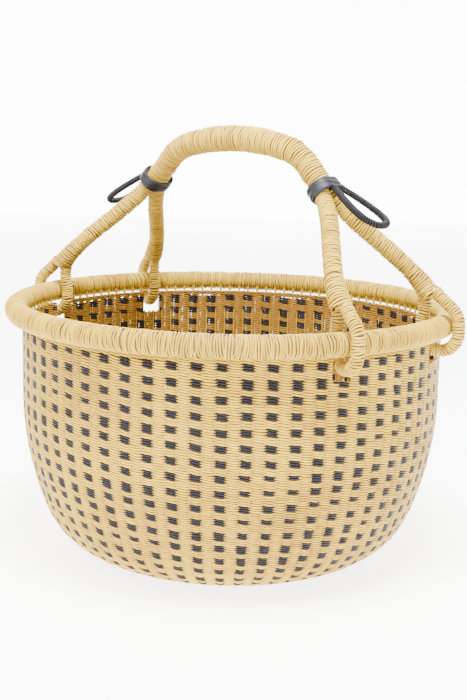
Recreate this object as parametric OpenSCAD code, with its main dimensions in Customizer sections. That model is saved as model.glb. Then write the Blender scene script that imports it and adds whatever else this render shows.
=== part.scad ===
// Round market basket woven from grass straw, with a wrapped rim and an arched handle.
// The four handle legs end in loops that ride loosely round the rim.
// Millimetres, +Z up, origin on the ground under the middle of the base, handle along X.

/* [Basket body] */
// Overall width across the rim
basket_w = 418; // [340:1:480]
// Height of the rim's centre line above the ground
rim_z = 226; // [180:1:280]
// Outer radius of the rim roll, straw wrapping included
rim_roll_r = 10; // [7:0.5:13]
// Thickness of the straw wrapping on the rim
rim_wrap_t = 2; // [1:0.1:3]
// Thickness of the woven wall
wall_t = 5; // [3:0.5:7]
// How far the middle of the rim roll stands outside the wall's outer face
rim_overhang = 5.4; // [0:0.1:9]
// Radius of the curve between base and side
corner_r = 70; // [40:1:90]
// Angle from flat at which the base curve gives way to the side
corner_angle = 68; // [55:1:75]
// Radius of the side's own shallow curve
side_r = 284; // [200:1:300]

/* [Weave] */
// Number of stakes that the weave is worked round
stakes = 120; // [60:12:132]
// Diameter of one stake
stake_d = 3; // [2:0.1:4]
// Radius of the starting knot in the middle of the base
base_start_r = 52; // [46:1:70]
// Height of the twined row on top of the wall
border_h = 4.4; // [3:0.1:6]
// Height of the row of holes between the twined row and the rim
lace_gap = 4.2; // [1:0.1:6]

/* [Handle] */
// Height of the grip's centre line at the top of the arch
grip_z = 382; // [340:1:420]
// Distance of each leather collar from the middle of the handle
collar_x = 107; // [95:1:125]
// Radius of the long arc over the middle of the grip
grip_arc_r = 270; // [200:1:320]
// Half angle of that long arc
grip_arc_angle = 13.5; // [8:0.5:18]
// Radius of the tighter arc at each end of the grip
grip_bend_r = 48; // [35:1:60]
// Angle from level at which the grip runs into its collars
collar_slope = 45; // [35:1:60]
// Radius of the grip at the middle, wrapping included
grip_r = 12; // [10:0.5:15]
// Radius of the grip where it enters a collar
grip_end_r = 10.5; // [9:0.5:13]
// Radius of a leg, wrapping included
leg_r = 8; // [6:0.5:10]
// How much steeper than the grip's ends the legs leave their collar
leg_steepening = 8; // [0:1:15]
// Radius of a leg inside its collar
leg_top_r = 7; // [5:0.5:8]
// Thickness of the straw wrapping on the handle
handle_wrap_t = 1.5; // [1:0.1:2.5]
// Angle round the rim between the handle's line and each leg
foot_angle = 18.75; // [15:0.25:26.25]

/* [Rim loops] */
// Radius of a rim loop's strand, wrapping included
loop_strand_r = 5.8; // [4:0.1:7]
// How far the loops can slide up or down on the rim
loop_play = 4; // [3.8:0.1:7]
// Free play between the sides of a loop and the rim
loop_side_play = 0.5; // [0.4:0.1:4]
// Lean of the leg, away from vertical, where it forks into its loop
fork_lean = 38; // [34:1:44]
// Height of the fork above the rim's centre line
fork_height = 30; // [28:0.5:40]
// How far the fork stands inside the rim's centre line
fork_inset = 12; // [8:0.5:14]

/* [Collars and hanging loops] */
// Length of a leather collar along the handle
collar_len = 12; // [8:0.5:18]
// Thickness of the leather
leather_t = 1.5; // [1:0.1:3]
// Diameter of the hanging cord
cord_d = 6; // [4:0.5:8]
// Reach of a hanging loop from its collar
cord_reach = 57; // [50:1:85]
// Half width of a hanging loop
cord_half_w = 14; // [12:0.5:16]
// Droop of the hanging loops below level
cord_droop = 30; // [10:1:32]

/* [Hidden] */

$fn = 96;
straw = "wheat";
dyed_straw = "dimgray";
leather = "black";

seat_gap = 0.3;    // space left between soft pieces that lie on each other
wrap_gap = 0.1;    // space between a core and the wrapping on it

// Body radii, all from the outer face of the wall
rim_r = basket_w / 2 - rim_roll_r;
wall_outer_r = rim_r - rim_overhang;
wall_mid_r = wall_outer_r - wall_t / 2;
rim_core_r = rim_roll_r - rim_wrap_t;
base_flat_r = wall_outer_r - corner_r * sin(corner_angle) - side_r * (1 - sin(corner_angle));
side_z0 = corner_r * (1 - cos(corner_angle));
side_z1 = side_z0 + side_r * cos(corner_angle);
// Underside of the rim roll above the middle of the wall
rim_seat_z = rim_z - sqrt(pow(rim_roll_r, 2) - pow(rim_r - wall_mid_r, 2));
border_z = rim_seat_z - lace_gap - border_h / 2;
wall_top_z = border_z - border_h / 2;

// Slots in the wall under the rim, where the loops pass through
loop_half_w = rim_roll_r + loop_side_play + loop_strand_r;
loop_depth = loop_play + loop_half_w;
slot_play = 1.6;
slot_w = 2 * (loop_strand_r + slot_play);
slot_z = rim_z - loop_depth - loop_strand_r - loop_play - seat_gap;
stake_pitch = 360 / stakes;

// Handle geometry: mirror signs [x, y] of the four legs in the order of the node names
front_right = [1, -1];
back_right = [1, 1];
back_left = [-1, 1];
front_left = [-1, -1];
leg_y = leg_top_r + seat_gap / 2;
arc_x = grip_arc_r * sin(grip_arc_angle);
arc_z = grip_z - grip_arc_r * (1 - cos(grip_arc_angle));
bend_x = arc_x + grip_bend_r * (sin(collar_slope) - sin(grip_arc_angle));
bend_z = arc_z - grip_bend_r * (cos(grip_arc_angle) - cos(collar_slope));
collar_z = bend_z - (collar_x - bend_x) * tan(collar_slope);
collar_dir = [cos(collar_slope), 0, -sin(collar_slope)];
collar_out = [sin(collar_slope), 0, cos(collar_slope)];
collar_at = [collar_x, 0, collar_z];
// The legs leave their collar steeper than the grip enters it
leg_slope = collar_slope + leg_steepening;
leg_dir = [cos(leg_slope), 0, -sin(leg_slope)];
fork_r = 1.2 * leg_r;

tube_sides = 12;
leg_steps = 14;
loop_steps = 9;
grip_steps = 9;
cord_steps = 18;
cord_sides = 10;

// ---- Vectors, curves and swept tubes ----
function unit(v) = v / norm(v);
function lerp(a, b, t) = a + (b - a) * t;
function bezier(p, t) =
    pow(1 - t, 3) * p[0] + 3 * pow(1 - t, 2) * t * p[1] + 3 * (1 - t) * t * t * p[2] + pow(t, 3) * p[3];
function tangent(p, i) = unit(p[min(i + 1, len(p) - 1)] - p[max(i - 1, 0)]);
// A side vector carried along the path, so that the tube never twists
function side_vectors(p, i, u) =
    i >= len(p) ? [] :
    let (t = tangent(p, i), v = unit(u - (u * t) * t)) concat([v], side_vectors(p, i + 1, v));

// A solid tube along path p, with radius radii[i] at point i; flat ends
module swept_tube(p, radii, sides, start_side) {
    u = side_vectors(p, 0, start_side);
    points = [
        for (i = [0:len(p) - 1])
            let (t = tangent(p, i), w = cross(t, u[i]))
            for (k = [0:sides - 1])
                p[i] + radii[i] * (cos(360 * k / sides) * u[i] + sin(360 * k / sides) * w)
    ];
    walls = [
        for (i = [0:len(p) - 2], k = [0:sides - 1])
            let (a = i * sides + k, b = i * sides + (k + 1) % sides)
            each [[a, b + sides, b], [a, a + sides, b + sides]]
    ];
    first = [for (k = [0:sides - 1]) k];
    last = [for (k = [sides - 1:-1:0]) (len(p) - 1) * sides + k];
    polyhedron(points, concat(walls, [first, last]));
}

// The wrapping on a core: a hollow tube along the same path
module swept_wrap(p, radii, core_radii, sides, start_side) {
    run_out = 1;
    inner = concat(
        [p[0] - tangent(p, 0) * run_out],
        [for (i = [1:len(p) - 2]) p[i]],
        [p[len(p) - 1] + tangent(p, len(p) - 1) * run_out]
    );
    difference() {
        swept_tube(p, radii, sides, start_side);
        swept_tube(inner, [for (r = core_radii) r + wrap_gap], sides, start_side);
    }
}

// ---- Basket body ----
// Part of a band of thickness wall_t inside a circle of radius r, between two angles from straight down
module arc_band(centre, r, from, to) {
    reach = 2 * r;
    translate(centre) intersection() {
        difference() {
            circle(r, $fn = 180);
            circle(r - wall_t, $fn = 180);
        }
        polygon([
            [0, 0],
            reach * [sin(from), -cos(from)],
            reach * [sin((from + to) / 2), -cos((from + to) / 2)],
            reach * [sin(to), -cos(to)]
        ]);
    }
}

module wall_section() {
    arc_band([base_flat_r, corner_r], corner_r, 0, corner_angle);
    arc_band([wall_outer_r - side_r, side_z1], side_r, corner_angle, 90);
    translate([wall_outer_r - wall_t, side_z1]) square([wall_t, wall_top_z - side_z1]);
}

module slots() {
    for (side = [0, 180], turn = [-foot_angle, foot_angle])
        rotate([0, 0, side + turn])
            translate([wall_outer_r - 2 * wall_t, -slot_w / 2, slot_z])
                cube([3 * wall_t, slot_w, rim_z - slot_z]);
}

module base_start() {
    color(straw) cylinder(h = wall_t, r = base_start_r);
}

module base_weave() {
    color(straw) rotate_extrude()
        translate([base_start_r, 0]) square([base_flat_r - base_start_r, wall_t]);
}

module side_weave() {
    color(straw) difference() {
        rotate_extrude($fn = 180) wall_section();
        slots();
    }
}

// The ends of the stakes stand on the twined row and are held up against the rim
module stake_ends() {
    foot_z = border_z + border_h / 2;
    color(straw) difference() {
        for (k = [0:stakes - 1]) let (a = k * stake_pitch)
            if (!in_slot(a)) rotate([0, 0, a]) translate([wall_mid_r, 0, foot_z])
                cylinder(h = rim_z - foot_z, d = stake_d, $fn = 16);
        rotate_extrude($fn = stakes) translate([rim_r, rim_z])
            circle(rim_roll_r + wrap_gap, $fn = 48);
    }
}

// No stake end stands in the way of a loop
function in_slot(a) = min([for (f = [foot_angle, 180 - foot_angle, 180 + foot_angle, 360 - foot_angle])
    abs(a - f) * PI / 180 * wall_mid_r]) < (slot_w + stake_d) / 2;

module border_twine() {
    color(straw) difference() {
        rotate_extrude() translate([wall_mid_r - wall_t / 2, border_z - border_h / 2])
            square([wall_t, border_h]);
        slots();
    }
}

module rim_core() {
    color(straw) rotate_extrude() translate([rim_r, rim_z]) circle(rim_core_r, $fn = 48);
}

module rim_wrap() {
    color(straw) rotate_extrude() translate([rim_r, rim_z]) difference() {
        circle(rim_roll_r, $fn = 48);
        circle(rim_core_r + wrap_gap, $fn = 48);
    }
}

// ---- Handle ----
// Half of the grip's centre line, from the collar to the middle
function half_grip() = concat(
    [collar_at],
    [for (i = [0:grip_steps - 1])
        let (a = lerp(collar_slope, grip_arc_angle, i / grip_steps))
        [arc_x + grip_bend_r * (sin(a) - sin(grip_arc_angle)), 0,
         arc_z - grip_bend_r * (cos(grip_arc_angle) - cos(a))]],
    [for (i = [0:grip_steps])
        let (a = lerp(grip_arc_angle, 0, i / grip_steps))
        [grip_arc_r * sin(a), 0, grip_z - grip_arc_r * (1 - cos(a))]]
);
function grip_path() = let (h = half_grip(), n = len(h))
    concat(h, [for (i = [n - 2:-1:0]) [-h[i][0], 0, h[i][2]]]);
// The grip thins towards the collars
function grip_radii(inset) = [for (q = grip_path())
    let (t = abs(q[0]) / collar_x) lerp(grip_r, grip_end_r, t * t) - inset];

// Fork of the front right leg and its loop, in the upright plane through the loop
foot_out = [cos(foot_angle), -sin(foot_angle), 0];
foot_along = [sin(foot_angle), cos(foot_angle), 0];
function foot_point(out, up) = (rim_r + out) * foot_out + [0, 0, rim_z + up];
fork = foot_point(-fork_inset, fork_height);
fork_up = -sin(fork_lean) * foot_out + [0, 0, cos(fork_lean)];
fork_side = cos(fork_lean) * foot_out + [0, 0, sin(fork_lean)];
leg_start = collar_at - [0, leg_y, 0] + (leg_top_r * sin(leg_steepening) + seat_gap) * leg_dir;
leg_pull = norm(fork - leg_start) / 3;

function leg_path() = [for (i = [0:leg_steps])
    bezier([leg_start, leg_start + 0.8 * leg_pull * leg_dir, fork + leg_pull * fork_up, fork],
           i / leg_steps)];
// A leg swells out of its collar and spreads again at the fork
function leg_radii(inset) = [for (i = [0:leg_steps])
    let (t = i / leg_steps)
    (t < 0.2 ? lerp(leg_top_r, leg_r, t / 0.2) :
     t > 0.8 ? lerp(leg_r, fork_r, (t - 0.8) / 0.2) : leg_r) - inset];

// Centre line of a loop: out of the fork, down the inner side of the rim, under it and back up
fork_seat = fork - 2 * seat_gap * fork_up;
inner_fork = fork_seat - (loop_strand_r + seat_gap / 2) * fork_side;
outer_fork = fork_seat + (loop_strand_r + seat_gap / 2) * fork_side;
inner_pull = 0.25 * fork_height;
inner_rise = 0.5 * loop_half_w;
outer_pull = 0.6 * fork_height;
outer_rise = 0.85 * loop_half_w;
function loop_path() = concat(
    [for (i = [0:loop_steps - 1]) bezier(
        [inner_fork, inner_fork - inner_pull * fork_up,
         foot_point(-loop_half_w, loop_play + inner_rise), foot_point(-loop_half_w, loop_play)],
        i / loop_steps)],
    [foot_point(-loop_half_w, loop_play)],
    [for (i = [0:loop_steps]) let (a = 180 * i / loop_steps)
        foot_point(-loop_half_w * cos(a), -loop_play - loop_half_w * sin(a))],
    [for (i = [0:loop_steps]) bezier(
        [foot_point(loop_half_w, loop_play), foot_point(loop_half_w, loop_play + outer_rise),
         outer_fork - outer_pull * fork_up, outer_fork], i / loop_steps)]
);
function loop_radii(inset) = [for (q = loop_path()) loop_strand_r - inset];

module grip_core() {
    color(straw) swept_tube(grip_path(), grip_radii(handle_wrap_t), 16, [0, 1, 0]);
}

module grip_wrap() {
    color(straw)
        swept_wrap(grip_path(), grip_radii(0), grip_radii(handle_wrap_t), 16, [0, 1, 0]);
}

module mirrored(signs) {
    mirror([signs[0] < 0 ? 1 : 0, 0, 0]) mirror([0, signs[1] > 0 ? 1 : 0, 0]) children();
}

module leg_core(signs) {
    color(straw) mirrored(signs)
        swept_tube(leg_path(), leg_radii(handle_wrap_t), tube_sides, [0, 1, 0]);
}

module leg_wrap(signs) {
    color(straw) mirrored(signs)
        swept_wrap(leg_path(), leg_radii(0), leg_radii(handle_wrap_t), tube_sides, [0, 1, 0]);
}

module loop_core(signs) {
    color(straw) mirrored(signs)
        swept_tube(loop_path(), loop_radii(handle_wrap_t), tube_sides, foot_along);
}

module loop_wrap(signs) {
    color(straw) mirrored(signs)
        swept_wrap(loop_path(), loop_radii(0), loop_radii(handle_wrap_t), tube_sides,
                   foot_along);
}

// Leather band round the grip's end and the two legs
module collar_outline(grow) {
    half_w = leg_y + leg_top_r + 2 * seat_gap + grow;
    half_t = grip_end_r + seat_gap + grow;
    for (s = [-1, 1]) translate([s * (half_w - half_t), 0]) circle(half_t);
    square([2 * (half_w - half_t), 2 * half_t], center = true);
}

module collar(sign) {
    color(leather) mirror([sign < 0 ? 1 : 0, 0, 0])
        translate(collar_at) rotate([0, 90 + collar_slope, 0]) rotate([0, 0, 90])
            linear_extrude(collar_len, center = true) difference() {
                collar_outline(leather_t);
                collar_outline(0);
            }
}

// Hanging loop: leaves the collar's lower edge on its outer side and comes back beside itself
cord_dir = [cos(cord_droop), 0, -sin(cord_droop)];
cord_lift = 2;      // space between the cord's ends and the legs below them
cord_seat = seat_gap + cord_d / 2 * sin(collar_slope - cord_droop);
cord_root = collar_at + (collar_len / 2 + cord_seat) * collar_dir
    + (leg_top_r + cord_lift + cord_d / 2) * collar_out;
cord_root_y = cord_d / 2 + 1;
function cord_point(along, side) = cord_root + along * cord_reach * cord_dir + [0, side, 0];
function half_cord(side, t) = bezier(
    [cord_point(0, side * cord_root_y), cord_point(0.35, side * 0.8 * cord_half_w),
     cord_point(1, side * 1.6 * cord_half_w), cord_point(1, 0)], t);
function cord_path() = concat(
    [for (i = [0:cord_steps - 1]) half_cord(-1, i / cord_steps)],
    [for (i = [cord_steps:-1:0]) half_cord(1, i / cord_steps)]
);

module hanging_loop(sign) {
    color(dyed_straw) mirror([sign < 0 ? 1 : 0, 0, 0])
        swept_tube(cord_path(), [for (q = cord_path()) cord_d / 2], cord_sides,
                   cross(cord_dir, [0, 1, 0]));
}

base_start();
base_weave();
side_weave();
border_twine();
stake_ends();
rim_core();
rim_wrap();
grip_core();
grip_wrap();
leg_core(front_right);  // leg_core_front_right
leg_core(back_right);  // leg_core_back_right
leg_core(back_left);  // leg_core_back_left
leg_core(front_left);  // leg_core_front_left
leg_wrap(front_right);  // leg_wrap_front_right
leg_wrap(back_right);  // leg_wrap_back_right
leg_wrap(back_left);  // leg_wrap_back_left
leg_wrap(front_left);  // leg_wrap_front_left
loop_core(front_right);  // loop_core_front_right
loop_core(back_right);  // loop_core_back_right
loop_core(back_left);  // loop_core_back_left
loop_core(front_left);  // loop_core_front_left
loop_wrap(front_right);  // loop_wrap_front_right
loop_wrap(back_right);  // loop_wrap_back_right
loop_wrap(back_left);  // loop_wrap_back_left
loop_wrap(front_left);  // loop_wrap_front_left
collar(1);  // collar_right
collar(-1);  // collar_left
hanging_loop(1);  // hanging_loop_right
hanging_loop(-1);  // hanging_loop_left
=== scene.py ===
"""Woven straw market basket with an arched, wrapped handle, laid out as an add-on.

Every piece is built by its own operator, in metres, in the frame of the CAD model.
"""

import math

import bmesh
import bpy
import numpy as np
from mathutils import Matrix, Vector


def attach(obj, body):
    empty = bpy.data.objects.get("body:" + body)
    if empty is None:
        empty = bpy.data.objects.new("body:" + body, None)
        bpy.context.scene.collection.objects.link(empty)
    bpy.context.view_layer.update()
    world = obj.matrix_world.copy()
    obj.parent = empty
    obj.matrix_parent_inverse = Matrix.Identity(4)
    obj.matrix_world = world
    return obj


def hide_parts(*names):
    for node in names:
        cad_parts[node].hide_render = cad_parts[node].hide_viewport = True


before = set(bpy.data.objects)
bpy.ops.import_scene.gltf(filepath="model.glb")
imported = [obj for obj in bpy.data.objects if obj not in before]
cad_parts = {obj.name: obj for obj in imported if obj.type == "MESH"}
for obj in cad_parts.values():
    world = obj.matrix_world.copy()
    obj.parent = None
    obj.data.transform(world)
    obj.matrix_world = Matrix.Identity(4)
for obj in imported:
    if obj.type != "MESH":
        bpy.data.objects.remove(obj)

bl_info = {
    "name": "Woven market basket",
    "version": (1, 0, 0),
    "blender": (4, 5, 0),
    "location": "View3D > Sidebar > Basket",
    "description": "Builds a twined straw basket with wrapped rim, handle, collars and loops",
    "category": "Add Mesh",
}

# ---- Sizes shared with the CAD model, in metres ----
WALL_OUTER_R = 0.1936
WALL_T = 0.005
CORNER_R = 0.070
CORNER_ANGLE = math.radians(68)
SIDE_R = 0.284
SIDE_Z1 = 0.15021
WALL_TOP_Z = 0.21127
BASE_FLAT_R = 0.10802
BASE_START_R = 0.052
BORDER_Z = 0.21347
RIM_R = 0.199
RIM_Z = 0.226
RIM_ROLL_R = 0.010
FOOT_ANGLE = math.radians(18.75)
SLOT_W = 0.0148
SLOT_Z = 0.1956
COLLAR_AT = Vector((0.107, 0, 0.34057))
COLLAR_SLOPE = math.radians(45)
COLLAR_DIR = Vector((math.cos(COLLAR_SLOPE), 0, -math.sin(COLLAR_SLOPE)))
COLLAR_OUT = Vector((math.sin(COLLAR_SLOPE), 0, math.cos(COLLAR_SLOPE)))
COLLAR_LEN = 0.012
GRIP_R = 0.012
GRIP_END_R = 0.0105
LEG_R = 0.008
LEG_TOP_R = 0.007
LEG_STEEPENING = math.radians(8)
LEG_Y = 0.00715
LOOP_STRAND_R = 0.0058
LOOP_HALF_W = 0.0163
LOOP_PLAY = 0.004
FORK_LEAN = math.radians(38)
FORK_HEIGHT = 0.030
FORK_INSET = 0.012
CORD_D = 0.006
CORD_REACH = 0.057
CORD_HALF_W = 0.014
CORD_DROOP = math.radians(30)
CORNERS = {
    "front_right": (1, -1),
    "back_right": (1, 1),
    "back_left": (-1, 1),
    "front_left": (-1, -1),
}
Y_AXIS = Vector((0, 1, 0))
Z_AXIS = Vector((0, 0, 1))

# ---- Sizes of the visible strands and the camera's place ----
STAKE_R = 0.0013
LINING_R = 0.0006
BORDER_PITCH = 0.0021
WALL_SLOT_SLACK = 0.0012
CAMERA_Z = 0.394
CAMERA_TILT = 0.187
CAMERA_ROLL = 0.0237


# ---- Curves ----
def bezier(points, t):
    """Point at t on the cubic through the four control points."""
    a, b, c, d = points
    s = 1 - t
    return a * s**3 + b * (3 * s * s * t) + c * (3 * s * t * t) + d * t**3


def lerp(a, b, t):
    return a + (b - a) * t


def mirrored(point, signs):
    """The point of the front right quarter, moved to another quarter."""
    return Vector((point.x * signs[0], point.y * -signs[1], point.z))


def arc_section(centre_r, centre_z, radius, start, end, steps):
    """Points of an arc in the half plane of the wall section; angles are from straight down."""
    angles = [lerp(start, end, i / steps) for i in range(steps + 1)]
    return [
        Vector((centre_r + radius * math.sin(a), 0, centre_z - radius * math.cos(a)))
        for a in angles
    ]


def wall_section():
    """Middle line of base and wall, from the centre of the base to the top of the wall."""
    mid = WALL_T / 2
    points = [Vector((0.0012, 0, mid))]
    points += arc_section(BASE_FLAT_R, CORNER_R, CORNER_R - mid, 0, CORNER_ANGLE, 24)
    side_centre = WALL_OUTER_R - SIDE_R
    side = arc_section(side_centre, SIDE_Z1, SIDE_R - mid, CORNER_ANGLE, math.pi / 2, 24)
    points += side[1:]
    points.append(Vector((WALL_OUTER_R - mid, 0, WALL_TOP_Z + 0.012)))
    return points


def length_of(points):
    return sum((b - a).length for a, b in zip(points, points[1:]))


def section_length(points, z):
    """Length along the section at which the wall reaches height z."""
    total = 0
    for a, b in zip(points, points[1:]):
        if b.z > z > WALL_T:
            return total + (b - a).length * (z - a.z) / (b.z - a.z)
        total += (b - a).length
    raise ValueError("the section doesn't reach that height")


def grip_path():
    """Centre line of the grip from the left collar to the right one, with its radii."""
    arc_r, arc_angle, bend_r = 0.270, math.radians(13.5), 0.048
    grip_z = 0.382
    arc_x = arc_r * math.sin(arc_angle)
    arc_z = grip_z - arc_r * (1 - math.cos(arc_angle))
    half = [COLLAR_AT.copy()]
    for i in range(12):
        a = lerp(COLLAR_SLOPE, arc_angle, i / 12)
        x = arc_x + bend_r * (math.sin(a) - math.sin(arc_angle))
        half.append(Vector((x, 0, arc_z - bend_r * (math.cos(arc_angle) - math.cos(a)))))
    for i in range(13):
        a = lerp(arc_angle, 0, i / 12)
        half.append(Vector((arc_r * math.sin(a), 0, grip_z - arc_r * (1 - math.cos(a)))))
    right = half[::-1]
    left = [Vector((-p.x, 0, p.z)) for p in half[:-1]]
    points = left + right
    radii = [lerp(GRIP_R, GRIP_END_R, (p.x / COLLAR_AT.x) ** 2) for p in points]
    return points, radii


FOOT_OUT = Vector((math.cos(FOOT_ANGLE), -math.sin(FOOT_ANGLE), 0))
FORK_UP = -math.sin(FORK_LEAN) * FOOT_OUT + math.cos(FORK_LEAN) * Z_AXIS
FORK_SIDE = math.cos(FORK_LEAN) * FOOT_OUT + math.sin(FORK_LEAN) * Z_AXIS


def foot_point(out, up):
    """A point beside the rim at the front right foot, from the rim's centre line."""
    return (RIM_R + out) * FOOT_OUT + (RIM_Z + up) * Z_AXIS


FORK = foot_point(-FORK_INSET, FORK_HEIGHT)


def leg_path():
    """Centre line and radii of the front right leg, from its collar to its fork."""
    slope = COLLAR_SLOPE + LEG_STEEPENING
    direction = Vector((math.cos(slope), 0, -math.sin(slope)))
    start = COLLAR_AT - LEG_Y * Y_AXIS + (LEG_TOP_R * math.sin(LEG_STEEPENING) + 0.0003) * direction
    pull = (FORK - start).length / 3
    controls = (start, start + 0.8 * pull * direction, FORK + pull * FORK_UP, FORK)
    points = [bezier(controls, i / 28) for i in range(29)]
    radii = []
    for i in range(29):
        t = i / 28
        swell = lerp(LEG_TOP_R, LEG_R, min(1, t / 0.2))
        radii.append(swell if t < 0.8 else lerp(LEG_R, 1.2 * LEG_R, (t - 0.8) / 0.2))
    return points, radii


def loop_path():
    """Centre line of the front right loop: out of the fork, under the rim and back up."""
    seat = FORK - 0.0006 * FORK_UP
    inner = seat - (LOOP_STRAND_R + 0.00015) * FORK_SIDE
    outer = seat + (LOOP_STRAND_R + 0.00015) * FORK_SIDE
    w, play = LOOP_HALF_W, LOOP_PLAY
    first = (
        inner,
        inner - 0.25 * FORK_HEIGHT * FORK_UP,
        foot_point(-w, play + 0.5 * w),
        foot_point(-w, play),
    )
    last = (
        foot_point(w, play),
        foot_point(w, play + 0.85 * w),
        outer - 0.6 * FORK_HEIGHT * FORK_UP,
        outer,
    )
    points = [bezier(first, i / 16) for i in range(17)]
    for i in range(21):
        a = math.pi * i / 20
        points.append(foot_point(-w * math.cos(a), -play - w * math.sin(a)))
    points += [bezier(last, i / 16) for i in range(17)]
    return points, [LOOP_STRAND_R] * len(points)


def cord_path():
    """Centre line of the right hanging loop, from the collar out and back beside itself."""
    seat = 0.0003 + CORD_D / 2 * math.sin(COLLAR_SLOPE - CORD_DROOP)
    root = COLLAR_AT + (COLLAR_LEN / 2 + seat) * COLLAR_DIR
    root += (LEG_TOP_R + 0.002 + CORD_D / 2) * COLLAR_OUT
    direction = Vector((math.cos(CORD_DROOP), 0, -math.sin(CORD_DROOP)))
    root_y = CORD_D / 2 + 0.001

    def at(along, side):
        return root + along * CORD_REACH * direction + side * Y_AXIS

    halves = []
    for side in (-1, 1):
        controls = (
            at(0, side * root_y),
            at(0.35, side * 0.8 * CORD_HALF_W),
            at(1, side * 1.6 * CORD_HALF_W),
            at(1, 0),
        )
        halves.append([bezier(controls, i / 30) for i in range(31)])
    return halves[0] + halves[1][-2::-1]


# ---- Node helper ----
class Nodes:
    """Adds nodes to a tree; numbers, tuples and strings given as inputs become socket values."""

    def __init__(self, tree):
        self.tree = tree

    def add(self, kind, inputs=None, out=0, **settings):
        node = self.tree.nodes.new(kind)
        for key, value in settings.items():
            setattr(node, key, value)
        for key, value in (inputs or {}).items():
            self.put(self.socket(node.inputs, key), value)
        return self.socket(node.outputs, out)

    @staticmethod
    def socket(sockets, key):
        """The enabled socket of that name, or the socket of that number."""
        if isinstance(key, int):
            return sockets[key]
        found = [s for s in sockets if s.name == key and s.enabled]
        if not found:
            raise KeyError(f"no socket {key!r} among {[s.name for s in sockets]}")
        return found[0]

    def put(self, socket, value):
        if isinstance(value, bpy.types.NodeSocket):
            self.tree.links.new(value, socket)
        else:
            socket.default_value = value

    def math(self, operation, a, b=0.0):
        return self.add("ShaderNodeMath", {0: a, 1: b}, operation=operation)

    def plus(self, a, b):
        return self.math("ADD", a, b)

    def minus(self, a, b):
        return self.math("SUBTRACT", a, b)

    def times(self, a, b):
        return self.math("MULTIPLY", a, b)

    def mix(self, factor, a, b):
        """Colour a where the factor is 0, colour b where it is 1."""
        return self.add("ShaderNodeMix", {0: factor, 6: a, 7: b}, out=2, data_type="RGBA")

    def scale(self, vector, factor):
        kind = "ShaderNodeVectorMath"
        return self.add(kind, {0: vector, "Scale": factor}, operation="SCALE")

    def vector(self, operation, a, b):
        return self.add("ShaderNodeVectorMath", {0: a, 1: b}, operation=operation)

    def combine(self, x, y, z):
        return self.add("ShaderNodeCombineXYZ", {0: x, 1: y, 2: z})

    def noise(self, position, scale, detail=0.0, seed=0.0, dimensions="4D"):
        """Noise from 0 to 1, about 0.5."""
        values = {"Vector": position, "Scale": scale, "Detail": detail}
        if dimensions == "4D":
            values["W"] = seed
        return self.add("ShaderNodeTexNoise", values, noise_dimensions=dimensions)

    def swing(self, position, scale, amount, seed, detail=0.0):
        """Noise about zero, of about that amount either way."""
        raw = self.noise(position, scale, detail, seed)
        return self.times(self.minus(raw, 0.5), self.times(amount, 3.0))

    def store(self, geometry, name, value, kind="FLOAT"):
        return self.add(
            "GeometryNodeStoreNamedAttribute",
            {"Geometry": geometry, "Name": name, "Value": value},
            data_type=kind,
            domain="POINT",
        )

    def store_strand(self, geometry, dyed, tint, thick, along, floating, outward):
        """Stores what the profile and the grass materials read from a strand."""
        values = {"dyed": dyed, "tint": tint, "thick": thick, "along": along, "float": floating}
        for name, value in values.items():
            geometry = self.store(geometry, name, value)
        return self.store(geometry, "outward", outward, "FLOAT_VECTOR")

    def named(self, name, kind="FLOAT"):
        return self.add("GeometryNodeInputNamedAttribute", {"Name": name}, data_type=kind)


def geometry_tree(name, inputs):
    """An empty Geometry Nodes tree with those named inputs: (name, socket type, default)."""
    tree = bpy.data.node_groups.new(name, "GeometryNodeTree")
    tree.interface.new_socket("Geometry", in_out="OUTPUT", socket_type="NodeSocketGeometry")
    for label, kind, default in inputs:
        socket = tree.interface.new_socket(label, in_out="INPUT", socket_type=kind)
        if default is not None:
            socket.default_value = default
    nodes = Nodes(tree)
    group = tree.nodes.new("NodeGroupInput")
    sockets = {label: Nodes.socket(group.outputs, label) for label, _, _ in inputs}
    return tree, nodes, sockets


FLOAT, INT, OBJECT, MATERIAL = (
    "NodeSocketFloat",
    "NodeSocketInt",
    "NodeSocketObject",
    "NodeSocketMaterial",
)


def strand_profile(n, width, thickness, sides):
    """Flat round section of a strand: local X is its thickness and local Y its width."""
    circle = n.add("GeometryNodeCurvePrimitiveCircle", {"Resolution": sides, "Radius": 1.0}, mode="RADIUS")
    position = n.add("GeometryNodeInputPosition")
    marked = n.store(circle, "across", position, "FLOAT_VECTOR")
    half = n.combine(n.times(thickness, 0.5), n.times(width, 0.5), 1.0)
    return n.add("GeometryNodeTransform", {"Geometry": marked, "Scale": half})


def strands_to_mesh(n, curves, profile, material):
    """Sweeps the profile along the strands, upright on their 'outward' direction."""
    outward = n.named("outward", "FLOAT_VECTOR")
    upright = n.add("GeometryNodeSetCurveNormal", {"Curve": curves, "Normal": outward}, mode="FREE")
    sized = n.add("GeometryNodeSetCurveRadius", {"Curve": upright, "Radius": n.named("thick")})
    mesh = n.add(
        "GeometryNodeCurveToMesh", {"Curve": sized, "Profile Curve": profile, "Fill Caps": True}
    )
    smooth = n.add("GeometryNodeSetShadeSmooth", {"Geometry": mesh})
    real = n.add("GeometryNodeRealizeInstances", {"Geometry": smooth})
    return n.add("GeometryNodeSetMaterial", {"Geometry": real, "Material": material})


def finish_tree(tree, nodes, geometry):
    output = tree.nodes.new("NodeGroupOutput")
    nodes.put(output.inputs[0], geometry)
    return tree


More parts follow.
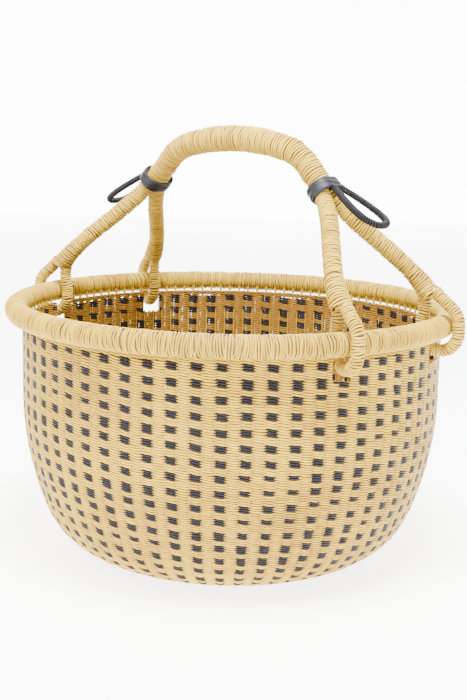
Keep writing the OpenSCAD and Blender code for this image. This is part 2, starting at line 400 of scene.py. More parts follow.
def twined_tree():
    """Pairs of strands twined round the stakes, one round above the other."""
    tree, n, s = geometry_tree(
        "Twined rounds",
        [
            ("Section", OBJECT, None),
            ("Start", FLOAT, 0.1),
            ("Rounds", INT, 6),
            ("Pitch", FLOAT, 0.00217),
            ("Columns", INT, 120),
            ("Steps", INT, 4),
            ("Depth", FLOAT, 0.0017),
            ("Proud", FLOAT, 0.0011),
            ("Width", FLOAT, 0.0024),
            ("Thickness", FLOAT, 0.0018),
            ("Slope", FLOAT, 0.25),
            ("Wander", FLOAT, 0.0003),
            ("Pattern top", FLOAT, 0.0),
            ("Dyed", FLOAT, 1.0),
            ("Slot from", FLOAT, 1.0),
            ("Seed", FLOAT, 1.0),
            ("Material", MATERIAL, None),
        ],
    )
    per_strand = n.plus(n.times(s["Columns"], s["Steps"]), 1)
    strands = n.times(s["Rounds"], 2)
    line = n.add(
        "GeometryNodeMeshLine",
        {"Count": n.times(per_strand, strands)},
        mode="OFFSET",
    )
    index = n.add("GeometryNodeInputIndex")
    strand = n.math("FLOOR", n.math("DIVIDE", n.plus(index, 0.5), per_strand))
    step = n.minus(index, n.times(strand, per_strand))
    # The points lie either side of each crossing, so that the pair runs level through it
    column = n.minus(n.math("DIVIDE", n.plus(step, 0.5), s["Steps"]), 0.5)
    angle = n.math("DIVIDE", n.times(column, math.tau), s["Columns"])
    round_no = n.math("FLOOR", n.times(n.plus(strand, 0.5), 0.5))
    second = n.minus(strand, n.times(round_no, 2))
    sign = n.minus(1.0, n.times(second, 2))
    phase = n.times(column, math.pi)
    wave = n.times(n.math("COSINE", phase), sign)
    tilt = n.times(n.math("SINE", phase), sign)
    cos_a, sin_a = n.math("COSINE", angle), n.math("SINE", angle)
    centre = n.plus(s["Start"], n.times(n.plus(round_no, 0.5), s["Pitch"]))
    around = n.scale(n.combine(cos_a, sin_a, 0.0), 0.19)
    place = n.vector("ADD", around, n.combine(0.0, 0.0, centre))
    drift = n.swing(place, 22.0, n.times(s["Wander"], 2.2), s["Seed"])
    jitter_place = n.vector("ADD", place, n.combine(0.0, 0.0, n.times(second, 0.05)))
    jitter = n.swing(jitter_place, 160.0, n.times(s["Wander"], 0.8), s["Seed"])
    climb = n.times(n.times(tilt, s["Slope"]), s["Pitch"])
    level = n.minus(n.plus(centre, n.plus(drift, jitter)), climb)
    section = n.add("GeometryNodeObjectInfo", {"Object": s["Section"]}, out="Geometry")
    sample = n.add(
        "GeometryNodeSampleCurve",
        {"Curves": section, "Length": level},
        out="Position",
        mode="LENGTH",
        use_all_curves=False,
    )
    tangent = Nodes.socket(sample.node.outputs, "Tangent")
    xyz = n.add("ShaderNodeSeparateXYZ", {0: sample}).node
    txyz = n.add("ShaderNodeSeparateXYZ", {0: tangent}).node
    bulge = n.swing(jitter_place, 120.0, 0.0003, n.plus(s["Seed"], 3.0))
    # Crossings stand a little proud, so that the points of the floats show from outside
    crossing = n.times(n.times(tilt, tilt), s["Proud"])
    lingering = n.times(wave, n.math("POWER", n.math("ABSOLUTE", wave), 0.9))
    swing_out = n.plus(n.times(lingering, s["Depth"]), crossing)
    off = n.plus(swing_out, bulge)
    radius = n.plus(xyz.outputs[0], n.times(txyz.outputs[2], off))
    height = n.minus(xyz.outputs[2], n.times(txyz.outputs[0], off))
    position = n.combine(n.times(radius, cos_a), n.times(radius, sin_a), height)
    nx = txyz.outputs[2]
    outward = n.combine(
        n.times(nx, cos_a),
        n.times(nx, sin_a),
        n.times(txyz.outputs[0], -1.0),
    )
    # Which strands are dyed: about three rounds in six, counted down from the top
    cell = n.math("FLOOR", n.plus(column, 0.5))
    from_top = n.minus(s["Pattern top"], round_no)
    row = n.math("FLOOR", n.math("DIVIDE", n.plus(from_top, 0.25), 6.0))
    in_six = n.minus(from_top, n.times(row, 6.0))
    stretch = n.math("FLOOR", n.times(n.plus(cell, 0.5), 0.17))
    patch_place = n.combine(n.times(stretch, 1.3), n.times(row, 1.7), 0.0)
    extra = n.swing(patch_place, 1.0, 1.2, s["Seed"])
    dark_round = n.math("LESS_THAN", in_six, n.plus(n.math("ROUND", extra), 2.75))
    first_of_pair = n.minus(1.0, second)
    dyed = n.times(n.times(dark_round, first_of_pair), s["Dyed"])
    # Flattened in the middle of a float, pinched where the pair crosses
    belly = n.math("POWER", n.math("ABSOLUTE", wave), 0.85)
    uneven = n.swing(jitter_place, 110.0, 0.12, n.plus(s["Seed"], 7.0))
    thick = n.plus(n.plus(0.72, n.times(belly, 0.32)), uneven)
    tint = n.noise(n.combine(cell, n.times(round_no, 3.1), second), 0.9, 1.0, s["Seed"])
    patch = n.noise(place, 14.0, 1.0, s["Seed"])
    tint = n.plus(n.times(tint, 0.6), n.times(patch, 0.4))
    run = n.plus(n.times(angle, 0.19), n.times(strand, 1.37))
    geometry = n.add("GeometryNodeSetPosition", {"Geometry": line, "Position": position})
    # Position has changed by now, so everything below is read from the index again
    geometry = n.store_strand(geometry, dyed, tint, thick, run, wave, outward)
    edge = n.add("GeometryNodeInputMeshEdgeVertices", out="Vertex Index 1")
    edge_end = n.math("MAXIMUM", edge, Nodes.socket(edge.node.outputs, "Vertex Index 2"))
    joins = n.math("LESS_THAN", n.math("FLOORED_MODULO", n.plus(edge_end, 0.25), per_strand), 0.5)
    geometry = n.add(
        "GeometryNodeDeleteGeometry",
        {"Geometry": geometry, "Selection": joins},
        domain="EDGE",
        mode="EDGE_FACE",
    )
    geometry = n.store(geometry, "fold", n.math("ARCSINE", n.math("MINIMUM", n.math("ABSOLUTE", sin_a), 1.0)))
    geometry = cut_slots(n, geometry, s["Slot from"])
    curves = n.add("GeometryNodeMeshToCurve", {"Mesh": geometry})
    profile = strand_profile(n, s["Width"], s["Thickness"], 5)
    return finish_tree(tree, n, strands_to_mesh(n, curves, profile, s["Material"]))


def cut_slots(n, geometry, slot_from):
    """Deletes the points in the four slots that the rim loops pass through."""
    place = n.add("ShaderNodeSeparateXYZ", {0: n.add("GeometryNodeInputPosition")}).node
    off = n.math("ABSOLUTE", n.minus(n.named("fold"), FOOT_ANGLE))
    beside = n.math("LESS_THAN", off, (SLOT_W / 2 - 0.0002) / WALL_OUTER_R)
    high = n.math("GREATER_THAN", place.outputs[2], slot_from)
    return n.add(
        "GeometryNodeDeleteGeometry",
        {"Geometry": geometry, "Selection": n.times(beside, high)},
        domain="POINT",
        mode="ALL",
    )


def wrapping_tree():
    """One strand wound round a path, turn beside turn."""
    tree, n, s = geometry_tree(
        "Wrapping",
        [
            ("Path", OBJECT, None),
            ("Turns", INT, 100),
            ("Steps", INT, 14),
            ("Width", FLOAT, 0.0024),
            ("Thickness", FLOAT, 0.0017),
            ("Slant", FLOAT, 0.002),
            ("Wander", FLOAT, 0.0006),
            ("Bump", FLOAT, 0.0003),
            ("Dyed", FLOAT, 0.0),
            ("Seed", FLOAT, 1.0),
            ("Material", MATERIAL, None),
        ],
    )
    path = n.add("GeometryNodeObjectInfo", {"Object": s["Path"]}, out="Geometry")
    total = n.add("GeometryNodeCurveLength", {"Curve": path})
    count = n.plus(n.times(s["Turns"], s["Steps"]), 1)
    line = n.add("GeometryNodeMeshLine", {"Count": count}, mode="OFFSET")
    index = n.add("GeometryNodeInputIndex")
    turn = n.math("DIVIDE", index, s["Steps"])
    share = n.math("DIVIDE", turn, s["Turns"])
    angle = n.times(turn, math.tau)
    level = n.times(share, total)
    rough = sample_path(n, path, level)
    lean = n.swing(rough["Position"], 45.0, s["Slant"], s["Seed"], 1.0)
    lean = n.times(lean, n.math("COSINE", n.plus(angle, 0.9)))
    own = n.combine(n.times(turn, 0.83), n.math("COSINE", angle), n.math("SINE", angle))
    shuffle = n.swing(own, 0.8, s["Wander"], n.plus(s["Seed"], 5.0))
    moved = n.plus(level, n.plus(lean, shuffle))
    moved = n.math("MINIMUM", n.math("MAXIMUM", moved, 0.0), total)
    at = sample_path(n, path, moved)
    binormal = n.vector("CROSS_PRODUCT", at["Tangent"], at["Normal"])
    outward = n.vector(
        "ADD",
        n.scale(at["Normal"], n.math("COSINE", angle)),
        n.scale(binormal, n.math("SINE", angle)),
    )
    spot = n.vector("ADD", at["Position"], n.scale(outward, 0.004))
    bump = n.swing(own, 1.3, s["Bump"], n.plus(s["Seed"], 9.0))
    reach = n.plus(at["Value"], bump)
    position = n.vector("ADD", at["Position"], n.scale(outward, reach))
    thick = n.plus(1.0, n.swing(spot, 240.0, 0.14, s["Seed"]))
    fresh = n.noise(at["Position"], 420.0, 0.0, s["Seed"])
    patch = n.noise(at["Position"], 20.0, 1.0, n.plus(s["Seed"], 2.0))
    tint = n.plus(n.times(fresh, 0.5), n.times(patch, 0.5))
    run = n.times(angle, at["Value"])
    geometry = n.add("GeometryNodeSetPosition", {"Geometry": line, "Position": position})
    geometry = n.store_strand(geometry, s["Dyed"], tint, thick, run, 1.0, outward)
    curves = n.add("GeometryNodeMeshToCurve", {"Mesh": geometry})
    profile = strand_profile(n, s["Width"], s["Thickness"], 6)
    return finish_tree(tree, n, strands_to_mesh(n, curves, profile, s["Material"]))


def sample_path(n, path, length):
    """Outputs of a Sample Curve node on the path at that length; Value is the path's radius."""
    radius = n.add("GeometryNodeInputRadius")
    first = n.add(
        "GeometryNodeSampleCurve",
        {"Curves": path, "Value": radius, "Length": length},
        mode="LENGTH",
        data_type="FLOAT",
        use_all_curves=False,
    )
    wanted = ("Value", "Position", "Tangent", "Normal")
    return {name: Nodes.socket(first.node.outputs, name) for name in wanted}


def stakes_tree():
    """Straight copies of one bent stake, set round the basket."""
    tree, n, s = geometry_tree(
        "Stakes",
        [
            ("Section", OBJECT, None),
            ("Count", INT, 120),
            ("Shift", FLOAT, 0.0),
            ("Radius", FLOAT, STAKE_R),
            ("Low", FLOAT, 0.0),
            ("High", FLOAT, 1.0),
            ("Slot from", FLOAT, 1.0),
            ("Material", MATERIAL, None),
        ],
    )
    section = n.add("GeometryNodeObjectInfo", {"Object": s["Section"]}, out="Geometry")
    part = n.add(
        "GeometryNodeTrimCurve",
        {"Curve": section, 4: s["Low"], 5: s["High"]},
        mode="LENGTH",
    )
    length = n.minus(s["High"], s["Low"])
    even = n.add(
        "GeometryNodeResampleCurve",
        {"Curve": part, "Length": n.math("MINIMUM", 0.004, n.math("DIVIDE", length, 3.0))},
        mode="LENGTH",
    )
    stake = n.add("GeometryNodeCurveToMesh", {
        "Curve": even,
        "Profile Curve": n.add(
            "GeometryNodeCurvePrimitiveCircle", {"Resolution": 6, "Radius": s["Radius"]}, mode="RADIUS"
        ),
        "Fill Caps": True,
    })
    points = n.add("GeometryNodeMeshLine", {"Count": s["Count"], "Offset": (0.0, 0.0, 0.0)}, mode="OFFSET")
    index = n.add("GeometryNodeInputIndex")
    place = n.plus(index, s["Shift"])
    turn = n.math("DIVIDE", n.times(place, math.tau), s["Count"])
    fold = n.math("ARCSINE", n.math("MINIMUM", n.math("ABSOLUTE", n.math("SINE", turn)), 1.0))
    off = n.math("ABSOLUTE", n.minus(fold, FOOT_ANGLE))
    clear = n.math("GREATER_THAN", off, (SLOT_W / 2 + 0.0006) / WALL_OUTER_R)
    low = n.math("LESS_THAN", s["High"], s["Slot from"])
    copies = n.add(
        "GeometryNodeInstanceOnPoints",
        {
            "Points": points,
            "Instance": stake,
            "Selection": n.math("MAXIMUM", clear, low),
            "Rotation": n.combine(0.0, 0.0, turn),
        },
    )
    real = n.add("GeometryNodeRealizeInstances", {"Geometry": copies})
    real = n.store(real, "dyed", 0.0)
    real = n.store(real, "tint", 0.55)
    # A float of 0 gives the stakes the fibre group's full painted crossing shade
    real = n.store(real, "float", 0.0)
    real = n.store(real, "across", (1.0, 0.0, 0.0), "FLOAT_VECTOR")
    smooth = n.add("GeometryNodeSetShadeSmooth", {"Geometry": real})
    done = n.add("GeometryNodeSetMaterial", {"Geometry": smooth, "Material": s["Material"]})
    return finish_tree(tree, n, done)


# ---- Building from trees ----
def link(obj):
    bpy.context.scene.collection.objects.link(obj)
    return obj


def path_object(name, points, radii=None, cyclic=False):
    """A helper curve that a tree follows."""
    curve = bpy.data.curves.new(name, "CURVE")
    curve.dimensions = "3D"
    spline = curve.splines.new("POLY")
    spline.points.add(len(points) - 1)
    for i, (spot, point) in enumerate(zip(spline.points, points)):
        spot.co = (*point, 1)
        spot.radius = radii[i] if radii else 1.0
    spline.use_cyclic_u = cyclic
    return link(bpy.data.objects.new(name, curve))


def shared_tree(name, make):
    """The tree of that name, made on first use."""
    return bpy.data.node_groups.get(name) or make()


def grow(name, tree, values):
    """A plain mesh object grown from a tree with those input values."""
    obj = link(bpy.data.objects.new(name, bpy.data.meshes.new(name)))
    modifier = obj.modifiers.new(tree.name, "NODES")
    modifier.node_group = tree
    known = {
        item.name: item.identifier
        for item in tree.interface.items_tree
        if item.item_type == "SOCKET" and item.in_out == "INPUT"
    }
    for label, value in values.items():
        modifier[known[label]] = value
    graph = bpy.context.evaluated_depsgraph_get()
    mesh = bpy.data.meshes.new_from_object(
        obj.evaluated_get(graph), preserve_all_data_layers=True, depsgraph=graph
    )
    obj.modifiers.clear()
    if len(mesh.polygons) == 0:
        raise RuntimeError(f"{name} came out empty")
    obj.data = mesh
    mesh.name = name
    return obj


def wrapped(name, points, radii, body, settings, material, cyclic=False, **changes):
    """Winds one strand round a path; radii are to the strand's outside."""
    thickness = changes.get("Thickness", settings.wrap_thickness)
    pitch = changes.pop("pitch", settings.wrap_pitch)
    path = path_object(name + ".path", points, [r - thickness / 2 for r in radii], cyclic)
    length = length_of(points) + ((points[0] - points[-1]).length if cyclic else 0)
    values = {
        "Path": path,
        "Turns": round(length / pitch),
        "Width": pitch * 0.92,
        "Thickness": thickness,
        "Material": material,
    }
    values.update(changes)
    obj = grow(name, shared_tree("Wrapping", wrapping_tree), values)
    bpy.data.objects.remove(path)
    if body:
        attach(obj, body)
    return obj


# ---- Materials ----
def fibre_group():
    """Colour, height and roughness of dried or dyed grass, from the strand attributes."""
    group = bpy.data.node_groups.get("Grass fibre")
    if group:
        return group
    group = bpy.data.node_groups.new("Grass fibre", "ShaderNodeTree")
    for label, default in (
        ("Pale", (0.80, 0.62, 0.33, 1)),
        ("Tan", (0.50, 0.28, 0.09, 1)),
        ("Dye", bpy.context.scene.basket_colours.dye),
    ):
        socket = group.interface.new_socket(label, in_out="INPUT", socket_type="NodeSocketColor")
        socket.default_value = default
    group.interface.new_socket("Colour", in_out="OUTPUT", socket_type="NodeSocketColor")
    group.interface.new_socket("Height", in_out="OUTPUT", socket_type="NodeSocketFloat")
    group.interface.new_socket("Roughness", in_out="OUTPUT", socket_type="NodeSocketFloat")
    n = Nodes(group)
    given = group.nodes.new("NodeGroupInput").outputs

    def attribute(name, out="Fac"):
        return n.add("ShaderNodeAttribute", out=out, attribute_name=name, attribute_type="GEOMETRY")

    along = attribute("along")
    across = n.add("ShaderNodeSeparateXYZ", {0: attribute("across", "Vector")}).node
    place = n.add("ShaderNodeTexCoord", out="Object")
    # Fine streaks that run along the strand
    streak_place = n.combine(
        n.times(across.outputs[0], 2.2),
        n.times(across.outputs[1], 2.2),
        n.times(along, 90.0),
    )
    streak = n.noise(streak_place, 2.4, 3.0, dimensions="3D")
    # The strand is twisted, so ridges climb across it
    twist = n.math("SINE", n.plus(n.times(along, 3800.0), n.times(across.outputs[1], 2.4)))
    fleck = n.noise(place, 650.0, 2.0, dimensions="3D")
    stain = n.noise(place, 9.0, 3.0, dimensions="3D")
    tint = attribute("tint")

    def ramp(value, low, high, start=0.0, end=1.0):
        values = {"Value": value, 1: low, 2: high, 3: start, 4: end}
        return n.add("ShaderNodeMapRange", values, clamp=True)

    # Painted shade: browner near crossings, where strands dip behind, and on the strand's own sides, between
    # neighbours
    side = n.minus(1.0, across.outputs[0])
    crossing_shade = n.minus(1.0, ramp(attribute("float"), 0.0, 0.75))
    # The tan mix is painted shade on sides and at crossings, plus real tint, streaks, stains and flecks
    amount = n.plus(ramp(tint, 0.42, 0.68, 0.0, 0.45), ramp(side, 0.22, 0.95, 0.0, 0.95))
    amount = n.plus(amount, n.times(crossing_shade, 0.35))
    amount = n.plus(amount, ramp(streak, 0.45, 0.7, 0.0, 0.3))
    amount = n.plus(amount, ramp(stain, 0.5, 0.75, 0.0, 0.22))
    amount = n.plus(amount, ramp(fleck, 0.6, 0.8, 0.0, 0.16))
    amount = n.math("MINIMUM", amount, 1.0)
    natural = n.mix(amount, given["Pale"], given["Tan"])
    dye_amount = ramp(n.plus(n.times(streak, 0.6), n.times(fleck, 0.4)), 0.5, 0.72)
    faded = n.mix(n.times(dye_amount, 0.5), given["Dye"], (0.022, 0.016, 0.021, 1))
    dyed = ramp(attribute("dyed"), 0.35, 0.65)
    colour = n.mix(dyed, natural, faded)
    height = n.plus(n.times(streak, 0.8), n.times(twist, 0.18))
    out = group.nodes.new("NodeGroupOutput").inputs
    n.put(out["Colour"], colour)
    n.put(out["Height"], height)
    n.put(out["Roughness"], ramp(streak, 0.3, 0.7, 0.62, 0.44))
    return group


def new_material(name):
    material = bpy.data.materials.get(name)
    if material:
        return material, None, None
    material = bpy.data.materials.new(name)
    material.use_nodes = True
    shader = material.node_tree.nodes["Principled BSDF"]
    return material, Nodes(material.node_tree), shader


def grass_material(name, pale, tan, bump=0.35):
    """Grass of that colour; every use reads the attributes that the trees store."""
    material, n, shader = new_material(name)
    if not n:
        return material
    fibre = n.add("ShaderNodeGroup", node_tree=fibre_group()).node
    fibre.inputs["Pale"].default_value = pale
    fibre.inputs["Tan"].default_value = tan
    normal = n.add(
        "ShaderNodeBump",
        {"Height": fibre.outputs["Height"], "Strength": bump, "Distance": 0.00035},
    )
    n.put(shader.inputs["Base Color"], fibre.outputs["Colour"])
    n.put(shader.inputs["Roughness"], fibre.outputs["Roughness"])
    n.put(shader.inputs["Normal"], normal)
    shader.inputs["Specular IOR Level"].default_value = 0.22
    return material


def weave_straw():
    colours = bpy.context.scene.basket_colours
    return grass_material("Weave grass", colours.weave_pale, colours.weave_tan)


def rim_straw():
    colours = bpy.context.scene.basket_colours
    return grass_material("Rim grass", colours.rim_pale, colours.rim_tan)


def handle_straw():
    colours = bpy.context.scene.basket_colours
    return grass_material("Handle grass", colours.handle_pale, colours.handle_tan)


def core_grass():
    """Bundled grass under the wrapping, seen only through gaps in it."""
    material, n, shader = new_material("Bundled grass")
    if not n:
        return material
    place = n.add("ShaderNodeTexCoord", out="Object")
    blades = n.noise(place, 420.0, 3.0, dimensions="3D")
    colour = n.mix(blades, (0.12, 0.055, 0.012, 1), (0.30, 0.16, 0.04, 1))
    normal = n.add("ShaderNodeBump", {"Height": blades, "Strength": 0.4, "Distance": 0.0004})
    n.put(shader.inputs["Base Color"], colour)
    n.put(shader.inputs["Normal"], normal)
    shader.inputs["Roughness"].default_value = 0.75
    return material


def leather():
    """Creased black leather with a worn sheen."""
    material, n, shader = new_material("Black hide")
    if not n:
        return material
    place = n.add("ShaderNodeTexCoord", out="Object")
    grain = n.add(
        "ShaderNodeTexVoronoi", {"Vector": place, "Scale": 900.0}, feature="SMOOTH_F1", out="Distance"
    )
    creases = n.noise(place, 190.0, 3.0, dimensions="3D")
    worn = n.noise(place, 120.0, 4.0, dimensions="3D")
    colour = n.mix(n.math("POWER", worn, 2.2), (0.004, 0.0036, 0.005, 1), (0.025, 0.023, 0.03, 1))
    height = n.plus(n.times(grain, 0.35), creases)
    normal = n.add("ShaderNodeBump", {"Height": height, "Strength": 0.5, "Distance": 0.0006})
    n.put(shader.inputs["Base Color"], colour)
    n.put(shader.inputs["Normal"], normal)
    shader.inputs["Specular IOR Level"].default_value = 0.25
    n.put(shader.inputs["Roughness"], n.plus(0.38, n.times(worn, 0.25)))
    return material


def dyed_straw():
    """Near-black strand of the hanging loops."""
    return grass_material("Dyed grass", (0.7, 0.5, 0.3, 1), (0.4, 0.3, 0.1, 1), bump=0.6)


# ---- Settings ----
def length_setting(name, description, default):
    return bpy.props.FloatProperty(
        name=name,
        description=description,
        default=default,
        unit="LENGTH",
        subtype="DISTANCE",
        precision=4,
    )


def colour_setting(name, description, default):
    return bpy.props.FloatVectorProperty(
        name=name, description=description, default=default, size=4, subtype="COLOR", min=0, max=1
    )


class BasketWeaveSettings(bpy.types.PropertyGroup):
    columns: bpy.props.IntProperty(name="Columns", description="Stakes round the wall", default=120, min=24)
    pitch: length_setting(
        "Round pitch", "Distance between twined rounds", 0.002167
    )
    depth: length_setting(
        "Depth", "How far a strand swings either side of the wall's middle", 0.0018
    )
    thickness: length_setting(
        "Strand thickness", "Thickness of a woven strand at its float", 0.0018
    )
    wander: length_setting(
        "Wander", "How far a round strays from its level", 0.0005
    )
    seed: bpy.props.IntProperty(name="Seed", description="Seed of everything uneven in the weave", default=4)


class BasketWrapSettings(bpy.types.PropertyGroup):
    wrap_pitch: length_setting(
        "Wrap pitch", "Width that one turn takes on rim and handle", 0.00235
    )
    wrap_thickness: length_setting(
        "Wrap thickness", "Thickness of the wrapped strand", 0.0018
    )
    cord_pitch: length_setting(
        "Cord pitch", "Width that one turn takes on the hanging loops", 0.0019
    )


class BasketStageSettings(bpy.types.PropertyGroup):
    distance: length_setting(
        "Camera distance", "Level distance from the basket's middle to the camera", 1.1
    )
    azimuth: bpy.props.FloatProperty(
        name="Azimuth",
        description="Turn of the camera round the basket, from the front",
        default=math.radians(44),
        subtype="ANGLE",
        unit="ROTATION",
    )
    lens: bpy.props.FloatProperty(
        name="Lens", description="Focal length in millimetres", default=61.19, min=20, max=200
    )


class BasketColourSettings(bpy.types.PropertyGroup):
    weave_pale: colour_setting("Weave, pale", "Palest grass of the wall", (0.62, 0.41, 0.020, 1))
    # Each tan is browner grass and also the colour of the painted shade on strand sides and near crossings
    weave_tan: colour_setting("Weave, tan", "Brownest grass of the wall", (0.235, 0.112, 0.006, 1))
    rim_pale: colour_setting("Rim, pale", "Palest grass of the rim", (0.50, 0.33, 0.014, 1))
    rim_tan: colour_setting("Rim, tan", "Brownest grass of the rim", (0.20, 0.094, 0.005, 1))
    handle_pale: colour_setting("Handle, pale", "Palest grass of the handle", (0.57, 0.375, 0.024, 1))
    handle_tan: colour_setting("Handle, tan", "Brownest grass of the handle", (0.21, 0.098, 0.006, 1))
    dye: colour_setting("Dye", "Colour of the dyed strands", (0.0035, 0.0022, 0.0035, 1))


# ---- Operators ----
class BASKET_OT_stage(bpy.types.Operator):
    """White floor and backdrop, soft light and the camera"""

    bl_idname = "basket.stage"
    bl_label = "Stage"

    def execute(self, context):
        settings = context.scene.basket_stage
        a, away = settings.azimuth, settings.distance
        camera = bpy.data.cameras.new("Camera")
        camera.lens = settings.lens
        camera.sensor_width = 36
        camera.shift_x = 0.0031
        camera.clip_start = 0.01
        holder = link(bpy.data.objects.new("Camera", camera))
        holder.matrix_world = (
            Matrix.Translation((away * math.sin(a), -away * math.cos(a), CAMERA_Z))
            @ Matrix.Rotation(a, 4, "Z")
            @ Matrix.Rotation(math.pi / 2 - CAMERA_TILT, 4, "X")
            @ Matrix.Rotation(CAMERA_ROLL, 4, "Z")
        )
        context.scene.camera = holder
        floor, backdrop = floor_and_backdrop(a)
        self.lights(a)
        self.world(context)
        return {"FINISHED"}

    @staticmethod
    def lights(azimuth):
        """A key light from the left, a weak fill from the right and a strong one overhead."""
        for name, turn, rise, reach, size, power in (
            ("Key", -46, 46, 1.7, 0.7, 34),
            ("Fill", 58, 30, 2.0, 1.6, 6),
            ("Top", 6, 72, 1.4, 0.45, 105),
        ):
            a = azimuth + math.radians(turn)
            e = math.radians(rise)
            back = Vector((math.sin(a) * math.cos(e), -math.cos(a) * math.cos(e), math.sin(e)))
            lamp = bpy.data.lights.new(name, "AREA")
            lamp.size = size
            lamp.energy = power
            holder = link(bpy.data.objects.new(name, lamp))
            holder.location = back * reach + Vector((0, 0, 0.15))
            holder.rotation_euler = back.to_track_quat("Z", "Y").to_euler()

    @staticmethod
    def world(context):
        world = bpy.data.worlds.new("White room")
        world.use_nodes = True
        background = world.node_tree.nodes["Background"]
        background.inputs["Color"].default_value = (1, 0.99, 0.975, 1)
        background.inputs["Strength"].default_value = 1.8
        context.scene.world = world


def glowing_paper(name, strength):
    """White paper that gives off some light of its own."""
    material, _, shader = new_material(name)
    shader.inputs["Base Color"].default_value = (0.9, 0.9, 0.9, 1)
    shader.inputs["Roughness"].default_value = 0.9
    shader.inputs["Specular IOR Level"].default_value = 0.0
    shader.inputs["Emission Color"].default_value = (1, 1, 1, 1)
    shader.inputs["Emission Strength"].default_value = strength
    return material


def flat_sheet(name, corners, material):
    mesh = bpy.data.meshes.new(name)
    mesh.from_pydata(corners, [], [(0, 1, 2, 3)])
    mesh.materials.append(material)
    return link(bpy.data.objects.new(name, mesh))


def floor_and_backdrop(azimuth):
    """A bright floor and, far behind the basket, a brighter backdrop."""
    turn = Matrix.Rotation(azimuth, 3, "Z")
    z = -0.0006
    floor = [turn @ Vector(c) for c in ((-4, -3, z), (4, -3, z), (4, 4, z), (-4, 4, z))]
    back = [turn @ Vector(c) for c in ((-4, 4, -0.5), (4, 4, -0.5), (4, 4, 4), (-4, 4, 4))]
    return (
        flat_sheet("Floor", floor, glowing_paper("Floor paper", 4.4)),
        flat_sheet("Backdrop", back, glowing_paper("Backdrop paper", 8.0)),
    )


class BASKET_OT_weave(bpy.types.Operator):
    """Twined rounds of base and wall, worked over bent stakes"""

    bl_idname = "basket.weave"
    bl_label = "Base and wall"

    def execute(self, context):
        settings = context.scene.basket_weave
        section_points = wall_section()
        section = path_object("Section", section_points)
        tree = shared_tree("Twined rounds", twined_tree)
        top = section_length(section_points, WALL_TOP_Z) - 0.0002
        edge = BASE_FLAT_R - section_points[0].x
        slot_from = SLOT_Z - WALL_SLOT_SLACK
        common = {
            "Section": section,
            "Pitch": settings.pitch,
            "Depth": settings.depth,
            "Thickness": settings.thickness,
            "Width": settings.pitch * 0.97,
            "Wander": settings.wander,
            "Seed": float(settings.seed),
            "Slot from": slot_from,
            "Material": weave_straw(),
        }
        rounds = round((top - edge) / settings.pitch)
        first = top - rounds * settings.pitch
        bands = 7
        pieces = []
        for band in range(bands):
            low = round(rounds * band / bands)
            high = round(rounds * (band + 1) / bands)
            values = dict(common)
            values["Start"] = first + low * settings.pitch
            values["Rounds"] = high - low
            values["Columns"] = settings.columns
            values["Pattern top"] = float(rounds - low - 1)
            pieces.append(grow(f"wall_weave_{band + 1}", tree, values))
        start = BASE_START_R - section_points[0].x
        for name, low, high, columns in (
            ("base_weave_outer", start, first, settings.columns // 2),
            ("base_weave_inner", start / 2, start, settings.columns // 4),
            ("base_centre", 0.0, start / 2, settings.columns // 10),
        ):
            rounds_here = round((high - low) / settings.pitch)
            values = dict(common)
            values["Start"] = high - rounds_here * settings.pitch
            values["Rounds"] = rounds_here
            values["Columns"] = columns
            values["Steps"] = 6 if columns > 20 else 8
            values["Dyed"] = 0.0
            values["Depth"] = settings.depth * 0.6
            values["Proud"] = 0.0
            values["Width"] = settings.pitch * 1.3
            pieces.append(grow(name, tree, values))
        stakes = shared_tree("Stakes", stakes_tree)
        reach = section_length(section_points, SLOT_Z)
        run = section_length(section_points, WALL_TOP_Z + 0.0105)
        for name, count, radius, shift, low, high in (
            ("wall_stakes", settings.columns, STAKE_R, 0.0, edge * 0.75, reach),
            ("stake_lining", settings.columns, LINING_R, 0.5, edge * 0.75, reach),
            ("base_stakes", settings.columns // 4, STAKE_R, 0.0, start * 0.4, edge * 0.78),
            ("stake_tops", settings.columns, STAKE_R, 0.0, reach - 0.001, run),
        ):
            values = {
                "Section": section,
                "Count": count,
                "Shift": shift,
                "Radius": radius,
                "Low": low,
                "High": high,
                "Slot from": reach + 0.0001,
                "Material": weave_straw(),
            }
            pieces.append(grow(name, stakes, values))
        bpy.data.objects.remove(section)
        pieces.insert(bands, self.knot())
        for piece in pieces:
            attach(piece, "basket")
        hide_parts("side_weave")
        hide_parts("base_weave")
        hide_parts("base_start")
        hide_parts("stake_ends")
        return {"FINISHED"}

    @staticmethod
    def knot():
        """Flat knot where the stakes cross, in the middle of the base."""
        shape = bmesh.new()
        bmesh.ops.create_uvsphere(shape, u_segments=24, v_segments=12, radius=0.006)
        for vertex in shape.verts:
            vertex.co.z = vertex.co.z * 0.36 + WALL_T / 2
        mesh = bpy.data.meshes.new("base_knot")
        shape.to_mesh(mesh)
        shape.free()
        mesh.polygons.foreach_set("use_smooth", [True] * len(mesh.polygons))
        mesh.materials.append(weave_straw())
        return link(bpy.data.objects.new("base_knot", mesh))


class BASKET_OT_border(bpy.types.Operator):
    """Heavier twined row that closes the top of the wall"""

    bl_idname = "basket.border"
    bl_label = "Border row"

    def execute(self, context):
        settings = context.scene.basket_weave
        points = wall_section()
        section = path_object("Section", points)
        level = section_length(points, BORDER_Z)
        values = {
            "Section": section,
            "Start": level - BORDER_PITCH,
            "Rounds": 2,
            "Pitch": BORDER_PITCH,
            "Columns": settings.columns,
            "Steps": 6,
            "Depth": 0.0016,
            "Width": 0.0022,
            "Thickness": 0.0019,
            "Dyed": 0.0,
            "Wander": 0.0002,
            "Slot from": SLOT_Z,
            "Seed": 9.0,
            "Material": rim_straw(),
        }
        ring = grow("border_row", shared_tree("Twined rounds", twined_tree), values)
        bpy.data.objects.remove(section)
        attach(ring, "basket")
        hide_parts("border_twine")
        return {"FINISHED"}


